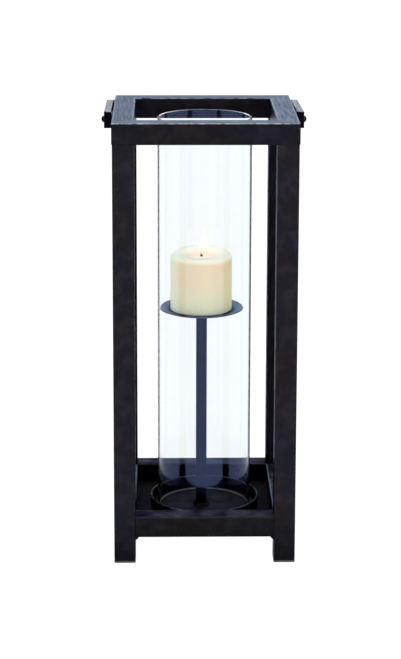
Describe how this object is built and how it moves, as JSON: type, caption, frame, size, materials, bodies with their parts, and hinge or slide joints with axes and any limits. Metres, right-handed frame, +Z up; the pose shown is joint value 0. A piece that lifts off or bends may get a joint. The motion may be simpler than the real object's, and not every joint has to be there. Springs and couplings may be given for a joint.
{
  "type": "hurricane candle lantern",
  "caption": "Tall square steel frame lantern with an open glass chimney, a pillar candle on a stem-mounted plate, short legs, and a bail handle folded down behind the top.",
  "frame": {"origin": "on the floor plane, midway between the four feet", "axes": "+Z up, -Y towards the front (the handle lies folded at +Y), +X to the right as seen from the front; the handle's pivots are on a line along X"},
  "size_m": [0.2446, 0.2258, 0.53],
  "materials": {
    "blackened_steel": "dark blackened satin with brushed grey wear on edges and upper faces",
    "tray": "dark satin sheet",
    "collar": "dark satin strip with a worn bright rim",
    "stand": "dark blue-grey satin",
    "handle": "dark satin bar with worn edges",
    "fasteners": "black painted",
    "zinc_fasteners": "plain zinc",
    "foot_cap": "matt black moulded",
    "glass": "clear",
    "wax": "ivory wax, slightly translucent",
    "wick": "braided cotton, burnt at the tip"
  },
  "bodies": {
    "frame": {"post_front_left": "blackened_steel", "post_front_right": "blackened_steel", "post_rear_left": "blackened_steel", "post_rear_right": "blackened_steel", "top_rail_front": "blackened_steel", "top_rail_rear": "blackened_steel", "top_rail_left": "blackened_steel", "top_rail_right": "blackened_steel", "bottom_rail_front": "blackened_steel", "bottom_rail_rear": "blackened_steel", "bottom_rail_left": "blackened_steel", "bottom_rail_right": "blackened_steel", "leg_welds": "blackened_steel", "foot_cap_front_left": "foot_cap", "foot_cap_front_right": "foot_cap", "foot_cap_rear_left": "foot_cap", "foot_cap_rear_right": "foot_cap", "tray_plate": "tray", "glass_collar": "collar", "candle_stem": "stand", "stem_welds": "stand", "candle_plate": "stand", "pivot_bolt_left": "fasteners", "pivot_spacer_left": "fasteners", "pivot_nut_left": "zinc_fasteners", "pivot_bolt_right": "fasteners", "pivot_spacer_right": "fasteners", "pivot_nut_right": "zinc_fasteners"},
    "handle": {"handle_arm_left": "handle", "handle_arm_right": "handle", "handle_grip": "handle"},
    "chimney": {"glass_chimney": "glass"},
    "candle": {"candle_wax": "wax", "wick": "wick"}
  },
  "joints": [
    {"name": "handle_swing", "type": "hinge", "parent": "frame", "child": "handle", "pos_m": [0, 0, 0.5175], "axis": [1, 0, 0], "range_deg": [0, 184.6]},
    {"name": "chimney_lift", "type": "slide", "parent": "frame", "child": "chimney", "axis": [0, 0, 1], "range_m": [0, 0.51]},
    {"name": "candle_lift", "type": "slide", "parent": "frame", "child": "candle", "axis": [0, 0, 1], "range_m": [0, 0.26]}
  ]
}
